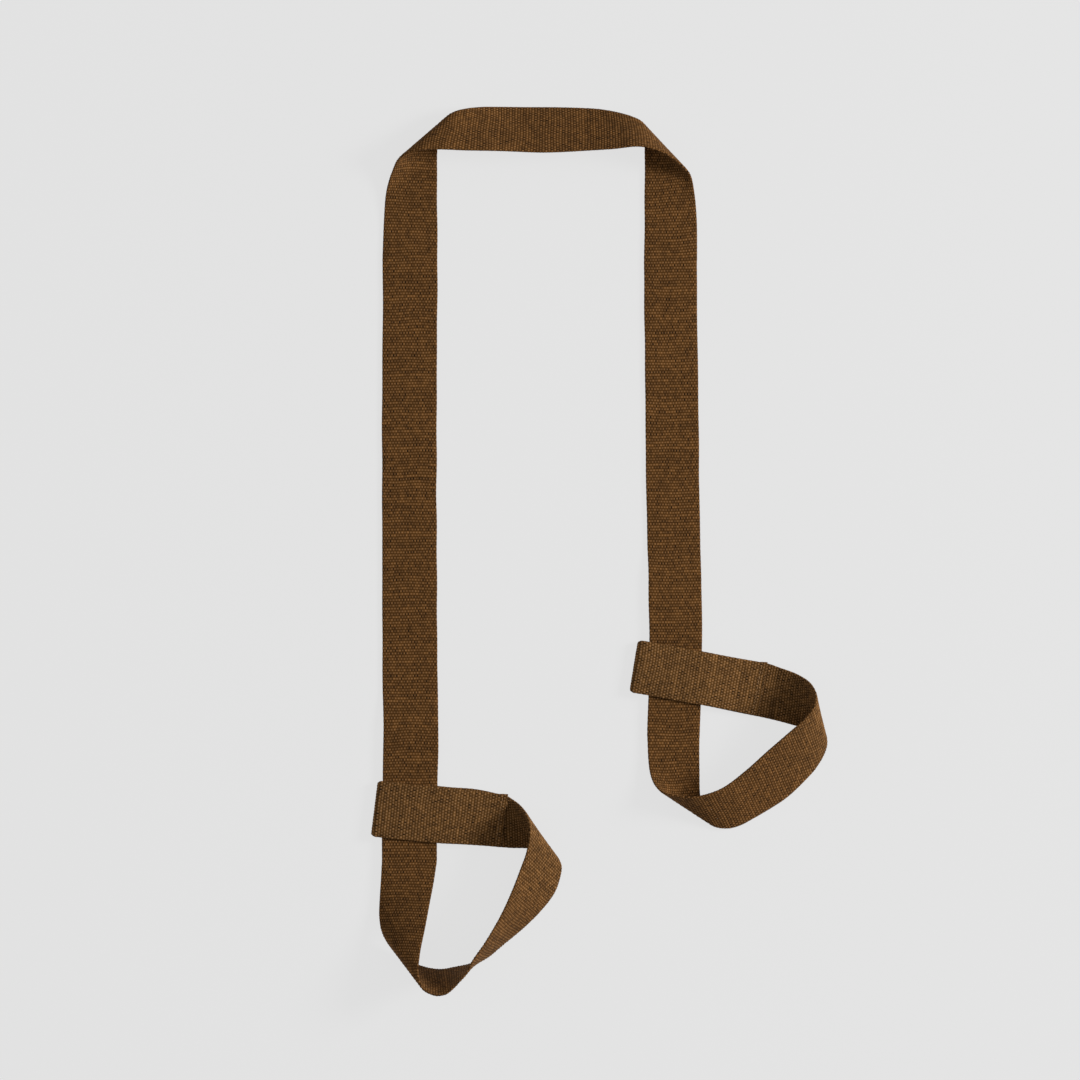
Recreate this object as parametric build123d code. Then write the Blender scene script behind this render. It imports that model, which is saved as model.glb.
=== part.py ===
from build123d import *
import math
import os

# A stretching strap laid out flat: one length of cotton webbing whose two ends are folded back
# round their own legs and sewn, so that each end is a loop that slides along its leg.
# Millimetres. Z is up from the floor, Y runs from the loops to the crossbar.

WEBBING_THICKNESS = 2.0
HALF = WEBBING_THICKNESS / 2
KEEPER_RADIUS = 2.3  # middle of the webbing round each keeper's turn, with the leg inside it
FRONT_HEIGHT = HALF + 2 * KEEPER_RADIUS  # middle of the keeper's front layer over the leg
TURN_LEAD = 0.8  # flat webbing on each side of a keeper's turn
SECTION_STEP = 3.5  # between cross-sections on curved stretches
STRAIGHT_FROM = 20.0  # a stretch longer than this is straight
THREAD = 0.5
STITCH_PITCH = 3.4

# A bend line has a round nose on one side, and the webbing that swings starts a little beyond it.
ROUND_ENDS = ("corner_fold", "leg_upper")
SET_BACK = {"leg_upper": 1, "leg_lower": 1, "curl": 0.08}
LEGS = ("leg_upper", "leg_lower")  # each starts with a stretch that lies flat on the floor


def beside(low, top, distance, z):
    """The ruling from low to top, moved square to itself towards the right of the layout."""
    shift = (Vector(*top) - Vector(*low)).normalized().cross(Vector(0, 0, 1)) * distance
    return (low[0] + shift.X, low[1] + shift.Y, z), (top[0] + shift.X, top[1] + shift.Y, z)


def keeper_turn(low, top):
    """Rulings round the left end of a keeper, whose axis runs from low to top."""
    rows = []
    for degrees in (0, 30, 60, 90, 120, 150, 180):
        turn = math.radians(degrees)
        z = HALF + KEEPER_RADIUS * (1 - math.cos(turn))
        rows.append(beside(low, top, -KEEPER_RADIUS * math.sin(turn), z))
    return rows + [beside(low, top, TURN_LEAD, FRONT_HEIGHT)]


# Each side is a list of spans from the middle of the crossbar to the sewn end. A span is a name
# and its rulings: straight lines across the webbing from its outer to its inner edge.
# A span starts on the last ruling of the span before it.
CROSSBAR_START = ((-68, 275.8, 22.5), (-68, 306, 2))
CROSSBAR_MIDDLE = ((-37, 274.8, 21.5), (-37, 306.1, 1.5))
CROSSBAR_END = ((-9.5, 276.1, 22.5), (-9.5, 305.5, 2))

LEFT_TURN = ((-154, -197), (-149.2, -158.8))
RIGHT_TURN = ((24.3, -97.8), (30.3, -61.8))

LEFT = [
    ("corner_fold", [
        ((-92, 276.4, 24), (-80.5, 306.2, 5)),
        ((-110.5, 277, 25), (-90, 305.5, 9)),
        ((-126.5, 276, 23.5), (-99, 303, 11)),
        ((-137, 271, 18), (-105, 298.5, 10)),
        ((-142.1, 261.6, 10), (-109, 291, 6.5)),
        ((-146, 249, 4), (-111, 279, 2.5)),
        ((-148, 228.5, 1.3), (-111.5, 256, 1.2)),
        ((-148.9, 204, 1.03), (-111.3, 214.5, 1.03)),
        ((-148.9, 197.5, 1), (-111.3, 197.5, 1)),
    ]),
    ("leg_upper", [
        ((-148.9, 196.2, 1), (-111.3, 196.2, 1)),
        ((-149.3, 36.5, 1), (-112, 36.5, 1)),
        ((-149.3, 35, 1), (-112, 35, 1)),
    ]),
    ("leg_lower", [
        ((-149.3, 33.7, 1), (-112, 33.7, 1)),
        ((-148.9, -94.5, 1), (-111, -94.5, 1)),
        ((-148.9, -96, 1), (-111, -96, 1)),
        ((-148.4, -120, 3.3), (-110.7, -120, 3.3)),
        ((-148.4, -121.5, 3.3), (-110.7, -121.5, 3.3)),
        ((-149.5, -214, 3.3), (-111.7, -214, 3.3)),
    ]),
    ("bottom_fold", [
        ((-149.6, -215.5, 3.3), (-111.9, -215.5, 3.3)),
        ((-149.8, -218, 3.4), (-112.4, -218.5, 3.9)),
        ((-150.4, -230.5, 3.4), (-114.8, -234, 9.5)),
        ((-150.9, -242, 3.6), (-119.6, -259, 19.5)),
        ((-151.1, -251, 4.2), (-123.2, -279, 28)),
        ((-150, -259.9, 5.5), (-124.2, -292.8, 33)),
        ((-146.8, -267.5, 5), (-121, -301.5, 34.5)),
        ((-140.3, -275.6, 2.5), (-115.8, -305, 35)),
    ]),
    ("twist", [
        ((-132, -282.4, 1.5), (-110.6, -306.2, 35.5)),
        ((-122, -286.6, 1.2), (-105.2, -305.1, 36.5)),
        ((-110, -288.8, 1.2), (-100.5, -301.4, 37.5)),
        ((-99, -287.2, 1.2), (-96.2, -296.7, 38.5)),
        ((-87.2, -284.7, 1.2), (-91.4, -291.2, 39)),
        ((-77, -280.2, 1.2), (-86.4, -282, 39)),
    ]),
    ("loop_band", [
        ((-66, -271.3, 1.5), (-77.9, -269.7, 37.5)),
        ((-53.5, -261, 2), (-67.9, -252.5, 35)),
        ((-39.5, -247.5, 2.5), (-59, -233.2, 32)),
        ((-30.8, -236.2, 3), (-53.6, -219.6, 31)),
    ]),
    ("curl", [
        ((-26.7, -225, 3.8), (-49.3, -206.6, 30.5)),
        ((-26, -216.5, 4.3), (-47.5, -191, 29)),
        ((-30, -210.5, 3.8), (-49.8, -182, 21)),
        ((-38.5, -207, 2.2), (-53.9, -176.2, 11)),
        ((-49.5, -205, 1.3), (-58.3, -172.2, 3.2)),
        ((-60, -204.7, 1), (-62.6, -169.1, 1.2)),
    ]),
    ("keeper_back", [
        ((-61.5, -204.6, 1), (-64, -168.7, 1)),
        ((-85, -202.8, 1), (-85, -164.4, 1)),
        ((-106, -201.4, 1), (-105, -162.8, 1)),
        beside(*LEFT_TURN, TURN_LEAD, HALF),
    ]),
    ("keeper_turn", keeper_turn(*LEFT_TURN)),
    ("keeper_front", [
        ((-108.5, -201.5, FRONT_HEIGHT), (-107, -163.5, FRONT_HEIGHT)),
        ((-107, -201.6, FRONT_HEIGHT), (-105.5, -163.7, FRONT_HEIGHT)),
        ((-78, -203.4, 3.1), (-76, -166.7, 3.1)),
        ((-74, -203.7, 3.05), (-72, -167.2, 3.1)),
        ((-67.5, -204.2, 3.05), (-62.4, -168.7, 3.6)),
    ]),
]

RIGHT = [
    ("corner_fold", [
        ((10, 277.4, 26), (2.5, 304.5, 4.5)),
        ((27.5, 279, 28.5), (13, 302.6, 7.5)),
        ((40.5, 276.5, 27), (21, 300.4, 9.5)),
        ((50.5, 271.5, 21.5), (27.5, 297.5, 10)),
        ((58.6, 264.7, 13.5), (31, 293.5, 8)),
        ((63.4, 258.8, 7), (32.5, 287.5, 4.5)),
        ((66, 247.5, 2.5), (32, 276.5, 2)),
        ((67.5, 228.5, 1.2), (32, 252.5, 1.1)),
        ((67.9, 204, 1.03), (31.6, 214.5, 1.03)),
        ((67.7, 197.5, 1), (31.3, 197.5, 1)),
    ]),
    ("leg_upper", [
        ((67.7, 196.2, 1), (31.3, 196.2, 1)),
        ((69.5, 36.5, 1), (33.1, 36.5, 1)),
        ((69.5, 35, 1), (33.1, 35, 1)),
    ]),
    ("leg_lower", [
        ((69.5, 33.7, 1), (33.1, 33.7, 1)),
        ((70.1, 5.5, 1), (33.8, 5.5, 1)),
        ((70.1, 4, 1), (33.8, 4, 1)),
        ((70.8, -20, 3.3), (34.5, -20, 3.3)),
        ((70.8, -21.5, 3.3), (34.5, -21.5, 3.3)),
        ((71.4, -62, 3.3), (35.1, -62, 3.3)),
        ((69.8, -127.5, 3.3), (33.7, -127.5, 3.3)),
    ]),
    ("bottom_fold", [
        ((69.7, -129, 3.3), (33.8, -129, 3.3)),
        ((69.6, -132.5, 3.2), (33.9, -131.5, 3.4)),
        ((69.5, -151, 2.6), (34.5, -144, 4.2)),
        ((70, -168.5, 1.6), (36, -154, 6)),
        ((73.1, -180.7, 1.3), (39.1, -161.3, 9.5)),
        ((79.3, -189.3, 1.7), (44, -166.1, 14)),
        ((88.8, -191, 2), (50.6, -168.1, 18.5)),
        ((97.5, -189, 1.8), (59, -169.5, 21.5)),
    ]),
    ("loop_band", [
        ((106.5, -184.5, 1.5), (69.5, -169, 23)),
        ((118.5, -177.5, 1.2), (85, -163.5, 23.5)),
        ((129.5, -170, 1.2), (101, -152, 24.5)),
        ((141, -159.5, 1.4), (117, -137.5, 26.5)),
        ((149.8, -149.8, 1.9), (131, -125.5, 29)),
    ]),
    ("curl", [
        ((155.6, -139.8, 3), (141, -116.6, 31)),
        ((157.4, -132.5, 4.3), (148.2, -107.4, 32)),
        ((155.8, -127, 4.3), (149.7, -99.7, 28)),
        ((148, -123.7, 3), (145.9, -91.4, 19)),
        ((136.5, -120.6, 1.6), (136.5, -84.7, 9)),
        ((122, -116.7, 1.1), (124, -80.1, 3)),
        ((110.5, -114, 1), (117.5, -77.9, 1.1)),
    ]),
    ("keeper_back", [
        ((109, -113.7, 1), (116, -77.6, 1)),
        ((72, -106.2, 1), (75.6, -70, 1)),
        beside(*RIGHT_TURN, TURN_LEAD, HALF),
    ]),
    ("keeper_turn", keeper_turn(*RIGHT_TURN)),
    ("keeper_front", [
        ((72, -106.1, FRONT_HEIGHT), (75.5, -70.3, FRONT_HEIGHT)),
        ((73.5, -106.4, FRONT_HEIGHT), (77, -70.6, FRONT_HEIGHT)),
        ((97, -110.8, 3.1), (102, -75.3, 3.1)),
        ((101, -111.7, 3.05), (106, -75.9, 3.05)),
        ((109.5, -113.6, 3.05), (116, -77.5, 3.1)),
    ]),
]

# Stitch lines through the two layers, from the outer to the inner edge.
LEFT_SEAM = ((-70.4, -203.2), (-66, -169.4))
RIGHT_SEAM = ((105.7, -112), (111.8, -78))


def blend(p, q, kp, kq, k):
    """The point at knot k on the line through p at kp and q at kq."""
    return p * ((kq - k) / (kq - kp)) + q * ((k - kp) / (kq - kp))


class Ribbon:
    """The middle surface of one side, as a smooth run of rulings (a Catmull-Rom curve per edge)."""

    def __init__(self, rulings):
        self.rows = [(Vector(*outer), Vector(*inner)) for outer, inner in rulings]
        self.knots = [0.0]
        for (a, b), (c, d) in zip(self.rows, self.rows[1:]):
            chord = ((c - a).length + (d - b).length) / 2
            self.knots.append(self.knots[-1] + math.sqrt(chord))

    def edge(self, which, i, part):
        """A point on one edge, part of the way from ruling i to ruling i + 1."""
        rows, knots, last = self.rows, self.knots, len(self.rows) - 1
        p1, p2 = rows[i][which], rows[i + 1][which]
        k1, k2 = knots[i], knots[i + 1]
        p0, k0 = (rows[i - 1][which], knots[i - 1]) if i else (p1 * 2 - p2, 2 * k1 - k2)
        p3, k3 = (rows[i + 2][which], knots[i + 2]) if i + 1 < last else (p2 * 2 - p1, 2 * k2 - k1)
        k = k1 + (k2 - k1) * part
        a = blend(p0, p1, k0, k1, k)
        b = blend(p1, p2, k1, k2, k)
        c = blend(p2, p3, k2, k3, k)
        return blend(blend(a, b, k0, k2, k), blend(b, c, k1, k3, k), k1, k2, k)

    def ruling(self, at):
        i = min(int(at), len(self.rows) - 2)
        return self.edge(0, i, at - i), self.edge(1, i, at - i)

    def frame(self, at):
        """The ruling's two ends, the unit normal and the unit direction of travel."""
        near = 0.02
        outer, inner = self.ruling(at)
        back = self.ruling(max(at - near, 0))
        ahead = self.ruling(min(at + near, len(self.rows) - 1))
        travel = (ahead[0] - back[0] + ahead[1] - back[1]).normalized()
        return outer, inner, travel.cross(inner - outer).normalized(), travel

    def stops(self, start, end):
        """Where cross-sections go between two rulings."""
        at = [start]
        for i in range(int(start), math.ceil(end)):
            chord = (self.knots[i + 1] - self.knots[i]) ** 2
            count = 1 if chord > STRAIGHT_FROM else math.ceil(chord / SECTION_STEP)
            for n in range(1, count + 1):
                here = i + n / count
                if start + 0.05 < here < end - 0.05:
                    at.append(here)
        return at + [end]


def section(outer, inner, normal, half):
    """A rectangular wire across the webbing."""
    corners = [outer + normal * half, inner + normal * half, inner - normal * half, outer - normal * half]
    return Wire.make_polygon(corners, close=True)


def webbing(ribbon, start, end, round_end=False):
    """Solid webbing between two places along a ribbon, with a round nose on a bend line."""
    sections = []
    for at in ribbon.stops(start, end):
        outer, inner, normal, travel = ribbon.frame(at)
        sections.append(section(outer, inner, normal, HALF))
    if round_end:
        for degrees in (25, 50, 75):
            nose = travel * (HALF * math.sin(math.radians(degrees)))
            half = HALF * math.cos(math.radians(degrees))
            sections.append(section(outer + nose, inner + nose, normal, half))
    return Solid.make_loft(sections, ruled=True)


def flat(ribbon, start, end):
    """Solid webbing between two rulings that lie on one plane."""
    (a, b), (c, d) = ribbon.ruling(start), ribbon.ruling(end)
    return extrude(make_face(Polyline(a, b, d, c, close=True)), amount=HALF, both=True)


def stitches(line, low, high):
    """One thread as a square wave along the seam, from its underside to its top."""
    start, stop = (Vector(*end, 0) for end in line)
    along = (stop - start).normalized()
    count = round((stop - start).length / STITCH_PITCH)
    pitch = (stop - start).length / count
    long = pitch * 0.75
    upper, lower = [(0, low)], [(THREAD, low)]
    for n in range(count):
        left = n * pitch
        upper += [(left, high), (left + long, high), (left + long, low + THREAD), (left + pitch, low + THREAD)]
        lower += [
            (left + THREAD, high - THREAD),
            (left + long - THREAD, high - THREAD),
            (left + long - THREAD, low),
            (left + pitch + THREAD, low),
        ]
    lower[-1] = (count * pitch, low)
    wave = make_face(Polyline(*upper, *reversed(lower), close=True))
    plane = Plane(origin=start, x_dir=along, z_dir=along.cross(Vector(0, 0, 1)))
    return extrude(plane * wave, amount=THREAD / 2, both=True)


bar = Ribbon([LEFT[0][1][0], CROSSBAR_START, CROSSBAR_MIDDLE, CROSSBAR_END, RIGHT[0][1][0]])
pieces = {"crossbar": webbing(bar, 1, 3)}

for side, spans, bar_end, seam in (
    ("left", LEFT, CROSSBAR_START, LEFT_SEAM),
    ("right", RIGHT, CROSSBAR_END, RIGHT_SEAM),
):
    ribbon = Ribbon([CROSSBAR_MIDDLE, bar_end] + [row for name, rows in spans for row in rows])
    last = 1
    for name, rows in spans:
        first, last = last, last + len(rows)
        start = first + SET_BACK.get(name, 0)
        node = f"{side}_{name}"
        if name in LEGS:
            beyond = webbing(ribbon, start + 1, last, name in ROUND_ENDS)
            pieces[node] = (flat(ribbon, start, start + 1) + beyond).solid()
        else:
            pieces[node] = webbing(ribbon, start, last, name in ROUND_ENDS)
    pieces[f"{side}_seam_stitches"] = stitches(seam, 0.3, 4.3)

# The origin goes to the middle of the footprint, on the floor.
boxes = [shape.bounding_box() for shape in pieces.values()]
middle_x = (min(box.min.X for box in boxes) + max(box.max.X for box in boxes)) / 2
middle_y = (min(box.min.Y for box in boxes) + max(box.max.Y for box in boxes)) / 2
floor_z = min(box.min.Z for box in boxes)
to_origin = Pos(-middle_x, -middle_y, -floor_z)
print("moved by", to_origin.position)

os.makedirs("parts", exist_ok=True)
for name, shape in pieces.items():
    export_step(to_origin * shape, f"parts/{name}.step")
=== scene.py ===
import math

import bpy
import numpy as np
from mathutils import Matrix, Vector


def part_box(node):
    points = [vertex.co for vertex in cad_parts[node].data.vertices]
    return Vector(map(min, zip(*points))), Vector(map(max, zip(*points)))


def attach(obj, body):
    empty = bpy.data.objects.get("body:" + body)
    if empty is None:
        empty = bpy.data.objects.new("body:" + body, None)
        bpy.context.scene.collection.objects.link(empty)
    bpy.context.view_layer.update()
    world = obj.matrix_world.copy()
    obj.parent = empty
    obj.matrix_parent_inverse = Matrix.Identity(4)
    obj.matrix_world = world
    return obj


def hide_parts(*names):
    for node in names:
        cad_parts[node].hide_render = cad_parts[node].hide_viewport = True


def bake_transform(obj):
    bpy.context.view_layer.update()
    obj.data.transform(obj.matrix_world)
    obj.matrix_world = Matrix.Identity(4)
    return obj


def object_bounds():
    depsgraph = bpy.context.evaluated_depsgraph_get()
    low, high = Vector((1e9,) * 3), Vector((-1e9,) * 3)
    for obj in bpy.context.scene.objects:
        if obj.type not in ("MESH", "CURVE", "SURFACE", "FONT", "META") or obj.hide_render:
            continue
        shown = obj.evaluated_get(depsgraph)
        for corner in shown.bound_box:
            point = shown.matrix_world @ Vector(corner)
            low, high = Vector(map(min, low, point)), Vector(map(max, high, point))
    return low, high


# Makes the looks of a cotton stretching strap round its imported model: one length of plain-woven
# webbing, with every knot of the weave in the mesh, and the thread of its two seams.

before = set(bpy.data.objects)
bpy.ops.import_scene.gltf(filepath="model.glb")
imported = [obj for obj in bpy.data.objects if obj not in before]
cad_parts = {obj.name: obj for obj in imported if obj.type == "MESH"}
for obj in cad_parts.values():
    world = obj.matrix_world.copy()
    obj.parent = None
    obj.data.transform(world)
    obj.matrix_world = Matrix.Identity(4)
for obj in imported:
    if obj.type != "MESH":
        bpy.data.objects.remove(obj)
cad_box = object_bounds()

MM = 0.001

# ------------------------------------------------------------------ sizes, in millimetres
WIDTH = 37.5
WARPS = 37  # yarns along the webbing, side by side
WEFT_PITCH = 1.94  # between the yarns that cross it
ROWS_PER_WEFT = 4  # mesh rows
ROW_STEP = WEFT_PITCH / ROWS_PER_WEFT
HALF_THICK = 0.8  # from the middle surface to the mean face
RELIEF = 0.2  # from the mean face to the top of a knot
GAP_DEPTH = 0.58  # share of a knot's height lost between two knots of a row
FLATTER = 0.09  # how much less of it is lost in every other row
SAMPLE = 0.5  # spacing of the points that the middle surface is measured at

# The two edges of the webbing, where the crossing yarn turns back in loops.
EDGE_BASE = 0.05  # how far an edge stands out between two loops
EDGE_LOOP = 0.1  # how much further the loops stand out
EDGE_TURNS = (50, 0, -50)  # degrees of the points round an edge, from the top face to the lower
EDGE_POINTS = len(EDGE_TURNS)
EDGE_YARNS = (0.3, 0.6, 0.9, 1.2)  # counted on to each of those points, and to the next face
EDGE_HEIGHT = 0.6  # of the round, as a share of half the thickness
EDGE_THIN = 0.3  # share of the thickness lost towards an edge
EDGE_THIN_REACH = 0.7

# Irregularity of the cloth.
BOW = 0.35  # how far the crossing yarns run ahead of their ends
BOW_PHASE = 0.6  # radians that the bow is off the middle
DRIFT_ALONG = 0.22  # how far the weave wanders along the webbing
DRIFT_ACROSS = 0.16
DRIFT_WAVES = 12
DRIFT_RATES = (0.35, 0.25)  # at most, in radians for each row and for each yarn
UNEVEN = 0.16  # spread of the knots' heights, as a share

# The cut ends and the seams next to them.
END_SPREAD = 0.8  # how far the inner corner of a cut end spreads
END_LENGTH = 6.5  # over this much of the end
END_RAMP = 1.3  # over 1, so that the very end has its full spread
SEAM_INSET = 3.4  # from a cut end to its seam
SEAM_DENT = 0.15  # how deep the thread pulls the cloth in
SEAM_DENT_REACH = 0.8
SEAM_MARGIN = 0.03  # share of the width without stitches at each side
STITCHES = 10  # in each seam
STITCH_SHARPNESS = 5
STITCH_LEAN = 2  # over 0, so that more of a stitch lies on top than underneath
STITCH_STEPS = 18  # points along each stitch
STITCH_SMOOTHING = 25  # points that the height of the thread is averaged over
THREAD = 0.28  # radius
THREAD_SIDES = 8

HALF = 1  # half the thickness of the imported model, whose middle surface this keeps
KEEPER_RADIUS = 2.3  # round each keeper's turn, with the leg inside it
FRONT_HEIGHT = HALF + 2 * KEEPER_RADIUS
TURN_LEAD = 0.8  # flat webbing on each side of a keeper's turn
ROUNDED_CORNER = 1.3  # how far the edges are pulled in at a turn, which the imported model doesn't do


def beside(low, top, distance, z):
    """The ruling from low to top, moved square to itself towards the right of the layout."""
    along = np.subtract(top, low) / np.linalg.norm(np.subtract(top, low))
    shift = np.array((along[1], -along[0])) * distance
    return (low[0] + shift[0], low[1] + shift[1], z), (top[0] + shift[0], top[1] + shift[1], z)


def keeper_turn(low, top):
    """Rulings round the left end of a keeper, whose axis runs from low to top."""
    rows = []
    for degrees in (0, 30, 60, 90, 120, 150, 180):
        turn = math.radians(degrees)
        z = HALF + KEEPER_RADIUS * (1 - math.cos(turn))
        pulled = np.subtract(top, low) / WIDTH * ROUNDED_CORNER * math.sin(turn) ** 2
        corners = np.add(low, pulled), np.subtract(top, pulled)
        rows.append(beside(*corners, -KEEPER_RADIUS * math.sin(turn), z))
    return rows + [beside(low, top, TURN_LEAD, FRONT_HEIGHT)]


# The strap's middle surface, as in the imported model: rulings across the webbing, each from its
# outer to its inner edge, in millimetres of the layout. A span starts on the last ruling of the
# span before it, and the two sides start from the middle of the crossbar.
CROSSBAR = [
    ((-68, 275.8, 22.5), (-68, 306, 2)),
    ((-37, 274.8, 21.5), (-37, 306.1, 1.5)),
    ((-9.5, 276.1, 22.5), (-9.5, 305.5, 2)),
]

LEFT_TURN = ((-154, -197), (-149.2, -158.8))
RIGHT_TURN = ((24.3, -97.8), (30.3, -61.8))

LEFT = [
    ("corner_fold", [
        ((-92, 276.4, 24), (-80.5, 306.2, 5)),
        ((-110.5, 277, 25), (-90, 305.5, 9)),
        ((-126.5, 276, 23.5), (-99, 303, 11)),
        ((-137, 271, 18), (-105, 298.5, 10)),
        ((-142.1, 261.6, 10), (-109, 291, 6.5)),
        ((-146, 249, 4), (-111, 279, 2.5)),
        ((-148, 228.5, 1.3), (-111.5, 256, 1.2)),
        ((-148.9, 204, 1.03), (-111.3, 214.5, 1.03)),
        ((-148.9, 197.5, 1), (-111.3, 197.5, 1)),
    ]),
    ("leg_upper", [
        ((-148.9, 196.2, 1), (-111.3, 196.2, 1)),
        ((-149.3, 36.5, 1), (-112, 36.5, 1)),
        ((-149.3, 35, 1), (-112, 35, 1)),
    ]),
    ("leg_lower", [
        ((-149.3, 33.7, 1), (-112, 33.7, 1)),
        ((-148.9, -94.5, 1), (-111, -94.5, 1)),
        ((-148.9, -96, 1), (-111, -96, 1)),
        ((-148.4, -120, 3.3), (-110.7, -120, 3.3)),
        ((-148.4, -121.5, 3.3), (-110.7, -121.5, 3.3)),
        ((-149.5, -214, 3.3), (-111.7, -214, 3.3)),
    ]),
    ("bottom_fold", [
        ((-149.6, -215.5, 3.3), (-111.9, -215.5, 3.3)),
        ((-149.8, -218, 3.4), (-112.4, -218.5, 3.9)),
        ((-150.4, -230.5, 3.4), (-114.8, -234, 9.5)),
        ((-150.9, -242, 3.6), (-119.6, -259, 19.5)),
        ((-151.1, -251, 4.2), (-123.2, -279, 28)),
        ((-150, -259.9, 5.5), (-124.2, -292.8, 33)),
        ((-146.8, -267.5, 5), (-121, -301.5, 34.5)),
        ((-140.3, -275.6, 2.5), (-115.8, -305, 35)),
    ]),
    ("twist", [
        ((-132, -282.4, 1.5), (-110.6, -306.2, 35.5)),
        ((-122, -286.6, 1.2), (-105.2, -305.1, 36.5)),
        ((-110, -288.8, 1.2), (-100.5, -301.4, 37.5)),
        ((-99, -287.2, 1.2), (-96.2, -296.7, 38.5)),
        ((-87.2, -284.7, 1.2), (-91.4, -291.2, 39)),
        ((-77, -280.2, 1.2), (-86.4, -282, 39)),
    ]),
    ("loop_band", [
        ((-66, -271.3, 1.5), (-77.9, -269.7, 37.5)),
        ((-53.5, -261, 2), (-67.9, -252.5, 35)),
        ((-39.5, -247.5, 2.5), (-59, -233.2, 32)),
        ((-30.8, -236.2, 3), (-53.6, -219.6, 31)),
    ]),
    ("curl", [
        ((-26.7, -225, 3.8), (-49.3, -206.6, 30.5)),
        ((-26, -216.5, 4.3), (-47.5, -191, 29)),
        ((-30, -210.5, 3.8), (-49.8, -182, 21)),
        ((-38.5, -207, 2.2), (-53.9, -176.2, 11)),
        ((-49.5, -205, 1.3), (-58.3, -172.2, 3.2)),
        ((-60, -204.7, 1), (-62.6, -169.1, 1.2)),
    ]),
    ("keeper_back", [
        ((-61.5, -204.6, 1), (-64, -168.7, 1)),
        ((-85, -202.8, 1), (-85, -164.4, 1)),
        ((-106, -201.4, 1), (-105, -162.8, 1)),
        beside(*LEFT_TURN, TURN_LEAD, HALF),
    ]),
    ("keeper_turn", keeper_turn(*LEFT_TURN)),
    ("keeper_front", [
        ((-108.5, -201.5, FRONT_HEIGHT), (-107, -163.5, FRONT_HEIGHT)),
        ((-107, -201.6, FRONT_HEIGHT), (-105.5, -163.7, FRONT_HEIGHT)),
        ((-78, -203.4, 3.1), (-76, -166.7, 3.1)),
        ((-74, -203.7, 3.05), (-72, -167.2, 3.1)),
        ((-67.5, -204.2, 3.05), (-62.4, -168.7, 3.6)),
    ]),
]

RIGHT = [
    ("corner_fold", [
        ((10, 277.4, 26), (2.5, 304.5, 4.5)),
        ((27.5, 279, 28.5), (13, 302.6, 7.5)),
        ((40.5, 276.5, 27), (21, 300.4, 9.5)),
        ((50.5, 271.5, 21.5), (27.5, 297.5, 10)),
        ((58.6, 264.7, 13.5), (31, 293.5, 8)),
        ((63.4, 258.8, 7), (32.5, 287.5, 4.5)),
        ((66, 247.5, 2.5), (32, 276.5, 2)),
        ((67.5, 228.5, 1.2), (32, 252.5, 1.1)),
        ((67.9, 204, 1.03), (31.6, 214.5, 1.03)),
        ((67.7, 197.5, 1), (31.3, 197.5, 1)),
    ]),
    ("leg_upper", [
        ((67.7, 196.2, 1), (31.3, 196.2, 1)),
        ((69.5, 36.5, 1), (33.1, 36.5, 1)),
        ((69.5, 35, 1), (33.1, 35, 1)),
    ]),
    ("leg_lower", [
        ((69.5, 33.7, 1), (33.1, 33.7, 1)),
        ((70.1, 5.5, 1), (33.8, 5.5, 1)),
        ((70.1, 4, 1), (33.8, 4, 1)),
        ((70.8, -20, 3.3), (34.5, -20, 3.3)),
        ((70.8, -21.5, 3.3), (34.5, -21.5, 3.3)),
        ((71.4, -62, 3.3), (35.1, -62, 3.3)),
        ((69.8, -127.5, 3.3), (33.7, -127.5, 3.3)),
    ]),
    ("bottom_fold", [
        ((69.7, -129, 3.3), (33.8, -129, 3.3)),
        ((69.6, -132.5, 3.2), (33.9, -131.5, 3.4)),
        ((69.5, -151, 2.6), (34.5, -144, 4.2)),
        ((70, -168.5, 1.6), (36, -154, 6)),
        ((73.1, -180.7, 1.3), (39.1, -161.3, 9.5)),
        ((79.3, -189.3, 1.7), (44, -166.1, 14)),
        ((88.8, -191, 2), (50.6, -168.1, 18.5)),
        ((97.5, -189, 1.8), (59, -169.5, 21.5)),
    ]),
    ("loop_band", [
        ((106.5, -184.5, 1.5), (69.5, -169, 23)),
        ((118.5, -177.5, 1.2), (85, -163.5, 23.5)),
        ((129.5, -170, 1.2), (101, -152, 24.5)),
        ((141, -159.5, 1.4), (117, -137.5, 26.5)),
        ((149.8, -149.8, 1.9), (131, -125.5, 29)),
    ]),
    ("curl", [
        ((155.6, -139.8, 3), (141, -116.6, 31)),
        ((157.4, -132.5, 4.3), (148.2, -107.4, 32)),
        ((155.8, -127, 4.3), (149.7, -99.7, 28)),
        ((148, -123.7, 3), (145.9, -91.4, 19)),
        ((136.5, -120.6, 1.6), (136.5, -84.7, 9)),
        ((122, -116.7, 1.1), (124, -80.1, 3)),
        ((110.5, -114, 1), (117.5, -77.9, 1.1)),
    ]),
    ("keeper_back", [
        ((109, -113.7, 1), (116, -77.6, 1)),
        ((72, -106.2, 1), (75.6, -70, 1)),
        beside(*RIGHT_TURN, TURN_LEAD, HALF),
    ]),
    ("keeper_turn", keeper_turn(*RIGHT_TURN)),
    ("keeper_front", [
        ((72, -106.1, FRONT_HEIGHT), (75.5, -70.3, FRONT_HEIGHT)),
        ((73.5, -106.4, FRONT_HEIGHT), (77, -70.6, FRONT_HEIGHT)),
        ((97, -110.8, 3.1), (102, -75.3, 3.1)),
        ((101, -111.7, 3.05), (106, -75.9, 3.05)),
        ((109.5, -113.6, 3.05), (116, -77.5, 3.1)),
    ]),
]

SLANTED_ENDS = ("bottom_fold", "twist", "loop_band")  # spans that end on a ruling across the bias

# The layout's origin in the frame, from the outer corner of the left upper leg.
LEG_CORNER = (-149.3, 196.2, 0)
leg_low, leg_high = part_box("left_leg_upper")
ORIGIN = np.array((leg_low.x, leg_high.y, leg_low.z)) - np.array(LEG_CORNER) * MM


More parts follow.
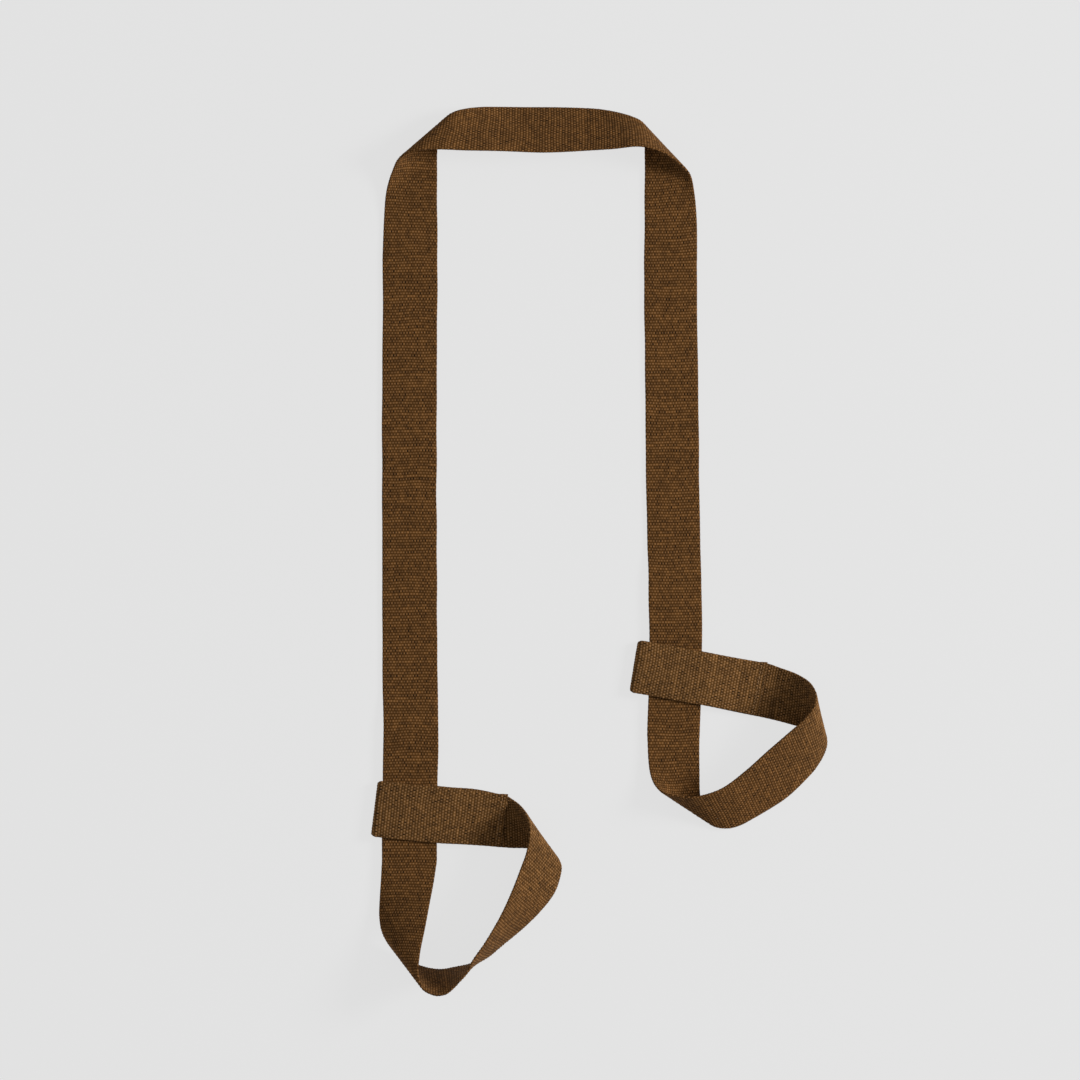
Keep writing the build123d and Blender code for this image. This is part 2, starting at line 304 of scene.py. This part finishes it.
def place(points):
    """Layout millimetres to the frame's metres."""
    return np.asarray(points, float) * MM + ORIGIN


# ------------------------------------------------------------------ the middle surface
def mix(p, q, start, end, at):
    """The point at a knot value on the line through p at start and q at end."""
    return p * ((end - at) / (end - start)) + q * ((at - start) / (end - start))


def through(rows):
    """Dense rulings on a Catmull-Rom curve per edge, and the index of each given ruling."""
    rows = np.array(rows, float)
    chords = np.linalg.norm(np.diff(rows, axis=0), axis=2).mean(axis=1)
    knots = np.concatenate([[0], np.cumsum(np.sqrt(chords))])
    rows = np.concatenate([[2 * rows[0] - rows[1]], rows, [2 * rows[-1] - rows[-2]]])
    knots = np.concatenate([[-knots[1]], knots, [2 * knots[-1] - knots[-2]]])
    dense, index = [], [0]
    for i, chord in enumerate(chords, start=1):
        count = max(4, round(chord / SAMPLE))
        part = np.linspace(0, 1, count, endpoint=False)[:, None, None]
        at = knots[i] + (knots[i + 1] - knots[i]) * part
        line = [mix(rows[j], rows[j + 1], knots[j], knots[j + 1], at) for j in (i - 1, i, i + 1)]
        bend = [mix(line[j], line[j + 1], knots[i - 1 + j], knots[i + 1 + j], at) for j in (0, 1)]
        dense.append(mix(bend[0], bend[1], knots[i], knots[i + 1], at))
        index.append(index[-1] + count)
    return np.concatenate(dense + [rows[-2:-1]]), index


def flat_run(edges, square):
    """How far the flat webbing has run at each ruling, on each edge. Both edges have run equally
    far at the rulings that are square to the webbing."""
    steps = np.linalg.norm(np.diff(edges, axis=0), axis=2)
    length = np.concatenate([np.zeros((1, 2)), np.cumsum(steps, axis=0)])
    run = np.zeros_like(length)
    for start, end in zip(square, square[1:]):
        stretch = length[start : end + 1] - length[start]
        run[start : end + 1] = run[start] + stretch * (stretch[-1].mean() / stretch[-1])
    return run


rulings = [row for name, rows in reversed(LEFT) for row in reversed(rows)]
middle = len(rulings) + 1
rulings += CROSSBAR + [row for name, rows in RIGHT for row in rows]
ends = {}
for side, spans, step in (("left", LEFT, -1), ("right", RIGHT, 1)):
    at = middle + step
    for name, rows in spans:
        at += step * len(rows)
        ends[f"{side}_{name}"] = at

edges, index = through(rulings)
square = sorted([middle] + [at for name, at in ends.items() if not name.endswith(SLANTED_ENDS)])
run = flat_run(edges, [index[at] for at in square])
run_at = {name: run[index[at]].mean() for name, at in ends.items()}
length = run[-1].mean()


# ------------------------------------------------------------------ the cloth
def unit(vectors):
    return vectors / np.linalg.norm(vectors, axis=-1, keepdims=True)


def middle_surface(along, across):
    """Points and unit normals of the middle surface at flat distances along the webbing, for
    each share of the way across it."""
    travel = np.gradient(edges, axis=0)
    ruling = edges[:, 1] - edges[:, 0]
    points = np.zeros((len(along), len(across), 3))
    normals = np.zeros_like(points)
    for column, share in enumerate(across):
        weights = np.array((1 - share, share))
        reached = run @ weights
        line = np.einsum("nek,e->nk", edges, weights)
        normal = unit(np.cross(np.einsum("nek,e->nk", travel, weights), ruling))
        for axis in range(3):
            points[:, column, axis] = np.interp(along, reached, line[:, axis])
            normals[:, column, axis] = np.interp(along, reached, normal[:, axis])
    return points, unit(normals)


def drift(u, v, reach, random):
    """A slow random wander over the cloth."""
    total = np.zeros(np.broadcast(u, v).shape)
    for wave in range(DRIFT_WAVES):
        along, across = (random.uniform(-rate, rate) for rate in DRIFT_RATES)
        total += np.sin(along * u + across * v + random.uniform(0, 2 * math.pi))
    return total * reach / math.sqrt(DRIFT_WAVES)


def weave(u, v):
    """Height of the weave, from 0 between its rows to 1 on its knots. u counts the rows and v the
    lengthwise yarns. Each knot covers two of those, set off by one from row to row, and every
    other row is pulled flatter."""
    row = np.floor(u + 0.5)
    odd = row % 2
    knot = 0.5 + 0.5 * np.sin(math.pi * (v - odd))
    return np.cos(math.pi * (u - row)) * (1 - (GAP_DEPTH - FLATTER * odd) * (1 - knot))


random = np.random.default_rng(28)
u = np.arange(int(length / ROW_STEP) + 1)[:, None] / ROWS_PER_WEFT
v = np.arange(2 * WARPS + 1)[None, :] / 2
surface, normal = middle_surface(u[:, 0] * WEFT_PITCH, v[0] / WARPS)
travel = unit(np.gradient(surface, axis=0))
across = unit(np.gradient(surface, axis=1))
bow = BOW * np.sin(math.pi * v / WARPS - BOW_PHASE)
surface = surface + travel * (bow + drift(u, v, DRIFT_ALONG, random))[:, :, None]
surface = surface + across * drift(u, v, DRIFT_ACROSS, random)[:, :, None]
from_end = np.minimum(u, u[-1] - u) * WEFT_PITCH
spread = END_SPREAD * np.clip(END_RAMP * (1 - from_end / END_LENGTH), 0, 1) * (v / WARPS) ** 4
surface = surface + across * spread[:, :, None]

from_edge = np.minimum(v, WARPS - v) * WIDTH / WARPS
thickness = HALF_THICK * (1 - EDGE_THIN * np.exp(-from_edge / EDGE_THIN_REACH)) + 0 * u
thickness = thickness - SEAM_DENT * np.exp(-(((from_end - SEAM_INSET) / SEAM_DENT_REACH) ** 2))
row = np.floor(u + 0.5).astype(int)
yarn = np.floor(v / 2).astype(int)
faces = []
for sign, face_u, face_v in ((1, u, v), (-1, u + 1, WARPS - v)):
    strength = random.normal(1, UNEVEN, (row.max() + 1, yarn.max() + 1))[row, yarn]
    height = np.minimum(RELIEF * (2 * weave(face_u, face_v) * strength - 1), RELIEF)
    faces.append(surface + sign * normal * (thickness + height)[:, :, None])

edge_arcs = []
for column, outward, turns in ((-1, 1, EDGE_TURNS), (0, -1, EDGE_TURNS[::-1])):
    reach = EDGE_BASE + EDGE_LOOP * (0.5 + 0.5 * outward * np.cos(math.pi * u))
    for degrees in turns:
        turn = math.radians(degrees)
        out = across[:, column] * outward * reach * math.cos(turn)
        up = normal[:, column] * EDGE_HEIGHT * HALF_THICK * math.sin(turn)
        edge_arcs.append(surface[:, column] + out + up)

# Round each row goes a ring of points: over the top, round one edge, back underneath, round the
# other. Each half of the ring has its own count of yarns across.
right_edge = np.stack(edge_arcs[:EDGE_POINTS], axis=1)
left_edge = np.stack(edge_arcs[EDGE_POINTS:], axis=1)
ring = np.concatenate([faces[0], right_edge, faces[1][:, ::-1], left_edge], axis=1)
half_ring = ring.shape[1] // 2
half_v = np.concatenate([v[0], WARPS + np.array(EDGE_YARNS)])


def add_object(name, data, material=None):
    obj = bpy.data.objects.new(name, data)
    if material:
        data.materials.append(material)
    bpy.context.scene.collection.objects.link(obj)
    return obj


def cloth(name, start, end, nodes):
    """A closed stretch of webbing between two flat distances along it, in place of CAD nodes."""
    first, last = round(start / ROW_STEP), round(end / ROW_STEP)
    last = min(last, len(ring) - 1)
    points = place(ring[first : last + 1])
    count, around = points.shape[:2]
    i = np.arange(count - 1)[:, None] * around
    k = np.arange(around)[None, :]
    beyond = (k + 1) % around
    quads = np.stack([i + k, i + around + k, i + around + beyond, i + beyond], axis=2).reshape(-1, 4)
    top = np.arange(2 * WARPS)
    last_under = around - EDGE_POINTS - 1
    under = last_under - top
    cap = [list(q) for q in np.stack([top, top + 1, under - 1, under], axis=1)]
    cap.append(list(range(2 * WARPS, half_ring + 1)))
    cap.append(list(range(last_under, around)) + [0])
    far = (count - 1) * around
    caps = cap + [[far + p for p in reversed(face)] for face in cap]
    mesh = bpy.data.meshes.new(name)
    mesh.from_pydata(points.reshape(-1, 3).tolist(), [], quads.tolist() + caps)

    row_u = (first + np.arange(count)) / ROWS_PER_WEFT
    low_v, high_v = np.tile(half_v[:-1], 2), np.tile(half_v[1:], 2)
    shift = np.repeat((0.0, 1.0), half_ring)
    here, ahead = row_u[:-1, None] + shift, row_u[1:, None] + shift
    low_v, high_v = low_v + 0 * here, high_v + 0 * here
    corners = np.stack([here, low_v, ahead, low_v, ahead, high_v, here, high_v], axis=2).reshape(-1)
    rest = np.zeros(2 * sum(len(face) for face in caps))
    mesh.uv_layers.new(name="weave").data.foreach_set("uv", np.concatenate([corners, rest]))
    mesh.polygons.foreach_set("use_smooth", [True] * len(quads) + [False] * len(caps))
    obj = add_object(name, mesh, webbing)
    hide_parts(*nodes)
    return obj


def blend(obj):
    """Bakes a stretch of webbing's place into its mesh, between two bodies; it is attached to neither and
    does not bend.
    """
    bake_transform(obj)


def sewn_thread(name, row, node):
    """One thread in stitches along a row of the webbing, through it and the layer below."""
    share = np.linspace(SEAM_MARGIN, 1 - SEAM_MARGIN, STITCH_STEPS * STITCHES)
    top = max((face[row] for face in faces), key=lambda side: side[:, 2].mean())
    over = np.stack([np.interp(share, v[0] / WARPS, top[:, axis]) for axis in range(3)], axis=1)
    height = np.pad(over[:, 2], STITCH_SMOOTHING // 2, "edge")
    over[:, 2] = np.convolve(height, np.ones(STITCH_SMOOTHING) / STITCH_SMOOTHING, "valid") + THREAD
    under = over.copy()
    under[:, 2] = THREAD
    wave = STITCH_SHARPNESS * np.sin(np.linspace(0, 2 * math.pi * STITCHES, len(share)))
    wave = np.tanh(wave + STITCH_LEAN)[:, None]
    path = over * (0.5 + 0.5 * wave) + under * (0.5 - 0.5 * wave)
    along = unit(np.gradient(path, axis=0))
    side = unit(np.cross(over[-1] - over[0], (0, 0, 1)))
    turn = np.linspace(0, 2 * math.pi, THREAD_SIDES + 1)[:-1, None]
    rings = []
    for point, direction in zip(path, along):
        rings.append(point + THREAD * (side * np.cos(turn) + np.cross(direction, side) * np.sin(turn)))
    quads = []
    for low in range(0, (len(rings) - 1) * THREAD_SIDES, THREAD_SIDES):
        high = low + THREAD_SIDES
        for k in range(THREAD_SIDES):
            beyond = (k + 1) % THREAD_SIDES
            quads.append((low + k, low + beyond, high + beyond, high + k))
    far = (len(rings) - 1) * THREAD_SIDES
    caps = [tuple(reversed(range(THREAD_SIDES))), tuple(range(far, far + THREAD_SIDES))]
    mesh = bpy.data.meshes.new(name)
    mesh.from_pydata(place(np.concatenate(rings)).tolist(), [], quads + caps)
    mesh.polygons.foreach_set("use_smooth", np.ones(len(mesh.polygons), bool))
    obj = add_object(name, mesh, thread)
    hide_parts(node)
    return obj


# ------------------------------------------------------------------ materials
# The webbing's brown by the height of its weave, from between the knots to their tops, with painted shade
# between the knots and painted light on their tops.
WEAVE_COLOURS_WITH_PAINTED_SHADE = (
    (0.0, (0.055, 0.0207, 0.0033, 1)),
    (0.35, (0.106, 0.0447, 0.0096, 1)),
    (0.75, (0.159, 0.0737, 0.0228, 1)),
    (1.0, (0.245, 0.129, 0.057, 1)),
)
THREAD_COLOURS = ((0.3, (0.17, 0.09, 0.035, 1)), (0.7, (0.36, 0.21, 0.1, 1)))

# The spread and the least of each random tone.
KNOT_TONE = (0.56, 0.72)
ROW_TONE = (0.2, 0.9)
BLOTCH_TONE = (0.16, 0.92)
DARKEST_TONE = 0.1
PINHOLE_SHADE = 2.2  # how dark the painted shade in the open gaps is
PINHOLE_SHADE_FEWER = 0.4  # how much less of it there is in every other row
PAINTED_LIGHT_REACH = (200, 290)  # from the cut ends, where the paler colour of painted light starts to fade and is gone
PAINTED_LIGHT_GAIN = (0.16, 0.25, 0.42)  # of that painted light, in red, green and blue
CUT_SHADE_ROWS = 0.5  # over which a cut end is darkened by a painted shade line
# how light the painted shade line leaves a cut end
CUT_SHADE_TONE = 0.45
BLOTCH_SCALE = 38.0
FIBRE_SCALE = (2.2, 9.0, 1.0)  # along the webbing, across it, and unused
THREAD_SCALE = 2500.0


class Graph:
    """Short forms for the nodes of a material."""

    def __init__(self, name):
        self.material = bpy.data.materials.new(name)
        self.material.use_nodes = True
        self.tree = self.material.node_tree
        self.shader = self.tree.nodes["Principled BSDF"]

    def node(self, kind, inputs=(), **settings):
        made = self.tree.nodes.new(kind)
        for key, value in settings.items():
            setattr(made, key, value)
        for socket, value in dict(inputs).items():
            if isinstance(value, bpy.types.NodeSocket):
                self.tree.links.new(value, made.inputs[socket])
            else:
                made.inputs[socket].default_value = value
        return made

    def math(self, operation, a, b=0.0, c=0.0):
        return self.node("ShaderNodeMath", {0: a, 1: b, 2: c}, operation=operation).outputs[0]

    def colours(self, factor, stops):
        """A colour ramp from its first stop to its last."""
        made = self.node("ShaderNodeValToRGB", {0: factor})
        ramp = made.color_ramp.elements
        ramp[0].position, ramp[0].color = stops[0]
        ramp[1].position, ramp[1].color = stops[-1]
        for position, shade in stops[1:-1]:
            ramp.new(position).color = shade
        return made.outputs[0]

    def bump(self, height, strength, distance):
        made = self.node("ShaderNodeBump", {"Height": height, "Strength": strength, "Distance": distance})
        self.link(made.outputs[0], "Normal")

    def set(self, **values):
        """Constants of the shader, by socket name with _ for each space."""
        for name, value in values.items():
            self.shader.inputs[name.replace("_", " ")].default_value = value

    def link(self, output, socket):
        self.tree.links.new(output, self.shader.inputs[socket])


def webbing_material():
    g = Graph("webbing")
    uv = g.node("ShaderNodeUVMap", uv_map="weave").outputs[0]
    split = g.node("ShaderNodeSeparateXYZ", {0: uv}).outputs
    u, v = split[0], split[1]
    row = g.math("FLOOR", g.math("ADD", u, 0.5))
    odd = g.math("FLOORED_MODULO", row, 2.0)
    ridge = g.math("COSINE", g.math("MULTIPLY", g.math("SUBTRACT", u, row), math.pi))
    wave = g.math("SINE", g.math("MULTIPLY", g.math("SUBTRACT", v, odd), math.pi))
    between = g.math("MULTIPLY_ADD", wave, -0.5, 0.5)
    gap_depth = g.math("MULTIPLY_ADD", odd, -FLATTER, GAP_DEPTH)
    kept = g.math("MULTIPLY_ADD", between, g.math("MULTIPLY", gap_depth, -1.0), 1.0)
    # The brown, painted darker between the knots as shade and paler on their tops as light.
    colour = g.colours(g.math("MULTIPLY", ridge, kept), WEAVE_COLOURS_WITH_PAINTED_SHADE)

    # One tone for each knot, one for each row, slow blotches, and the painted shade of a pinhole in some
    # of the gaps.
    def noise(start, seed):
        count = g.math("FLOOR", g.math("MULTIPLY", g.math("ADD", g.math("SUBTRACT", v, odd), start), 0.5))
        which = g.node("ShaderNodeCombineXYZ", {0: row, 1: count, 2: seed}).outputs[0]
        return g.node("ShaderNodeTexWhiteNoise", {"Vector": which}, noise_dimensions="3D").outputs[0]

    per_row = g.node("ShaderNodeTexWhiteNoise", {"W": row}, noise_dimensions="1D").outputs[0]
    on_cloth = g.node("ShaderNodeTexCoord").outputs["Object"]
    settings = {"Vector": on_cloth, "Scale": BLOTCH_SCALE, "Detail": 3.0}
    blotch = g.node("ShaderNodeTexNoise", settings).outputs[0]
    tone = g.math("MULTIPLY_ADD", noise(0.5, 0.5), *KNOT_TONE)
    tone = g.math("MULTIPLY", tone, g.math("MULTIPLY_ADD", per_row, *ROW_TONE))
    tone = g.math("MULTIPLY", tone, g.math("MULTIPLY_ADD", blotch, *BLOTCH_TONE))
    # Painted shade: some gaps are darkened for the shade in holes that the mesh doesn't have.
    open_gap = g.math("MULTIPLY", noise(-0.5, 1.5), noise(-0.5, 2.5))
    fewer = g.math("MULTIPLY_ADD", odd, -PINHOLE_SHADE_FEWER, 1.0)
    pinhole_shade = g.math("MULTIPLY", g.math("POWER", between, 3.0), fewer)
    pinhole_shade = g.math("MULTIPLY", g.math("MULTIPLY", pinhole_shade, ridge), open_gap)
    tone = g.math("MULTIPLY", tone, g.math("MULTIPLY_ADD", pinhole_shade, -PINHOLE_SHADE, 1.0))
    tone = g.math("MAXIMUM", tone, DARKEST_TONE)

    # The two ends, up to the loops' bands, are painted a little paler than the rest as painted light on
    # the raised keepers and bands, and darker at the cut as a painted shade line.
    to_end = g.math("MINIMUM", u, g.math("SUBTRACT", length / WEFT_PITCH, u))
    full, gone = [reach / WEFT_PITCH for reach in PAINTED_LIGHT_REACH]
    # pale is the share of painted light: full on the keepers, gone past the bands.
    pale = g.node("ShaderNodeMapRange", {0: to_end, 1: full, 2: gone, 3: 1.0, 4: 0.0}).outputs[0]
    # Painted shade: a dark line along each cut end, where it lies on the layer below.
    cut = g.node("ShaderNodeMapRange", {0: to_end, 1: 0.0, 2: CUT_SHADE_ROWS, 3: CUT_SHADE_TONE, 4: 1.0}).outputs[0]
    tone = g.math("MULTIPLY", tone, cut)
    tones = [g.math("MULTIPLY", tone, g.math("MULTIPLY_ADD", pale, gain, 1.0)) for gain in PAINTED_LIGHT_GAIN]
    shade = g.node("ShaderNodeCombineXYZ", dict(enumerate(tones))).outputs[0]
    painted = g.node("ShaderNodeVectorMath", {0: colour, 1: shade}, operation="MULTIPLY")
    g.link(painted.outputs[0], "Base Color")

    # The fibres of each yarn run with it.
    fine = g.node("ShaderNodeMapping", {0: uv, 3: FIBRE_SCALE}).outputs[0]
    fibres = g.node("ShaderNodeTexNoise", {"Vector": fine, "Scale": 1.0, "Detail": 3.0}).outputs[0]
    g.bump(fibres, 0.5, 0.00012)
    g.set(Roughness=0.95, Specular_IOR_Level=0.1)
    g.set(Sheen_Weight=0.02, Sheen_Roughness=0.5, Sheen_Tint=(0.6, 0.42, 0.28, 1))
    return g.material


def thread_material():
    g = Graph("thread")
    on_thread = g.node("ShaderNodeTexCoord").outputs["Object"]
    settings = {"Vector": on_thread, "Scale": THREAD_SCALE, "Detail": 2.0}
    noise = g.node("ShaderNodeTexNoise", settings).outputs[0]
    g.link(g.colours(noise, THREAD_COLOURS), "Base Color")
    g.bump(noise, 0.4, 0.0001)
    g.set(Roughness=0.9, Specular_IOR_Level=0.1)
    return g.material


webbing = webbing_material()
thread = thread_material()


# ------------------------------------------------------------------ the pieces
LEG_TOP = 197.5  # up the layout, where both corner folds end
HIP = (206, 189)  # from and to where each leg bends round at its upper bend line
KNEE = (50, 20)  # the same at its lower bend line


def leg_run(side, y):
    """Flat distance along the webbing at a height up the layout, on a straight leg."""
    step = -1 if side == "left" else 1
    return run_at[f"{side}_corner_fold"] + step * (LEG_TOP - y)


seam_row = round(SEAM_INSET / ROW_STEP)
for side, loop in (("left", "twist"), ("right", "bottom_fold")):
    keeper, lower, upper = f"{side}_keeper", f"{side}_leg_lower", f"{side}_leg_upper"
    stops = [
        run_at[f"{side}_keeper_front"],
        run_at[f"{side}_loop_band"],
        run_at[f"{side}_{loop}"],
        run_at[f"{side}_leg_lower"],
        leg_run(side, KNEE[1]),
        leg_run(side, KNEE[0]),
        leg_run(side, HIP[1]),
        leg_run(side, HIP[0]),
    ]
    pieces = []
    for name, nodes, stretch in (
        ("keeper_webbing", ("curl", "keeper_back", "keeper_turn", "keeper_front"), stops[0:2]),
        ("band_webbing", ("loop_band",), stops[1:3]),
        ("fold_webbing", ("bottom_fold", "twist") if side == "left" else ("bottom_fold",), stops[2:4]),
        ("lower_webbing", ("leg_lower",), stops[3:5]),
        ("knee_webbing", (), stops[4:6]),
        ("upper_webbing", ("leg_upper",), stops[5:7]),
        ("hip_webbing", (), stops[6:8]),
    ):
        pieces.append(cloth(f"{side}_{name}", *sorted(stretch), [f"{side}_{node}" for node in nodes]))
    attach(pieces[0], keeper)
    row = seam_row if side == "left" else len(ring) - 1 - seam_row
    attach(sewn_thread(f"{side}_seam_thread", row, f"{side}_seam_stitches"), keeper)
    blend(pieces[1])
    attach(pieces[2], lower)
    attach(pieces[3], lower)
    blend(pieces[4])
    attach(pieces[5], upper)
    blend(pieces[6])

bar_start, bar_end = (run[index[middle + step]].mean() for step in (-1, 1))
for name, node, start, end in (
    ("left_corner_webbing", "left_corner_fold", leg_run("left", HIP[0]), bar_start),
    ("crossbar_webbing", "crossbar", bar_start, bar_end),
    ("right_corner_webbing", "right_corner_fold", bar_end, leg_run("right", HIP[0])),
):
    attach(cloth(name, start, end, [node]), "crossbar")


# ------------------------------------------------------------------ floor, light and camera
low, high = (np.array(corner) for corner in cad_box)
centre = (low + high) / 2

# In metres and watts.
FLOOR_REACH = 6.0
FLOOR_HEIGHT = -0.0003  # just under the webbing
FLOOR_GREY = 0.07
FLOOR_GLOW = 0.712  # most of the floor's light is its own, which keeps the shadows on it faint
KEY_PLACE = (2.58, 0.52, 1.42)
KEY_SIZE = 0.9
KEY_POWER = 92
AMBIENT = 0.37
CAMERA_HEIGHT = 20.0  # far away, as through a long lens, so that height hardly shifts anything
CAMERA_REACH = 50
SENSOR_WIDTH = 36  # millimetres
PICTURE_WIDTH = 0.7452
PICTURE_OFFSET = (-0.0409, 0.0078)  # of the picture's middle from the strap's

corners = [(x, y, FLOOR_HEIGHT) for x, y in ((-1, -1), (1, -1), (1, 1), (-1, 1))]
corners = [(x * FLOOR_REACH, y * FLOOR_REACH, z) for x, y, z in corners]
floor_mesh = bpy.data.meshes.new("floor")
floor_mesh.from_pydata(corners, [], [(0, 1, 2, 3)])
pale = Graph("pale_floor")
pale.set(Base_Color=(FLOOR_GREY, FLOOR_GREY, FLOOR_GREY, 1), Roughness=1.0, Specular_IOR_Level=0.0)
pale.set(Emission_Color=(1, 1, 1, 1), Emission_Strength=FLOOR_GLOW)
floor = add_object("floor", floor_mesh, pale.material)

key_data = bpy.data.lights.new("key", "AREA")
key_data.size = KEY_SIZE
key_data.energy = KEY_POWER
key = add_object("key", key_data)
key.location = KEY_PLACE
key.rotation_euler = (Vector(centre) - key.location).to_track_quat("-Z", "Y").to_euler()

world = bpy.data.worlds.new("studio")
world.use_nodes = True
background = world.node_tree.nodes["Background"]
background.inputs["Color"].default_value = (1, 1, 1, 1)
background.inputs["Strength"].default_value = AMBIENT
bpy.context.scene.world = world
bpy.context.scene.view_settings.view_transform = "Standard"

camera_data = bpy.data.cameras.new("camera")
camera_data.sensor_width = SENSOR_WIDTH
camera_data.lens = camera_data.sensor_width * CAMERA_HEIGHT / PICTURE_WIDTH
camera_data.clip_end = CAMERA_REACH
camera = add_object("camera", camera_data)
camera.location = (centre[0] + PICTURE_OFFSET[0], centre[1] + PICTURE_OFFSET[1], CAMERA_HEIGHT)
bpy.context.scene.camera = camera
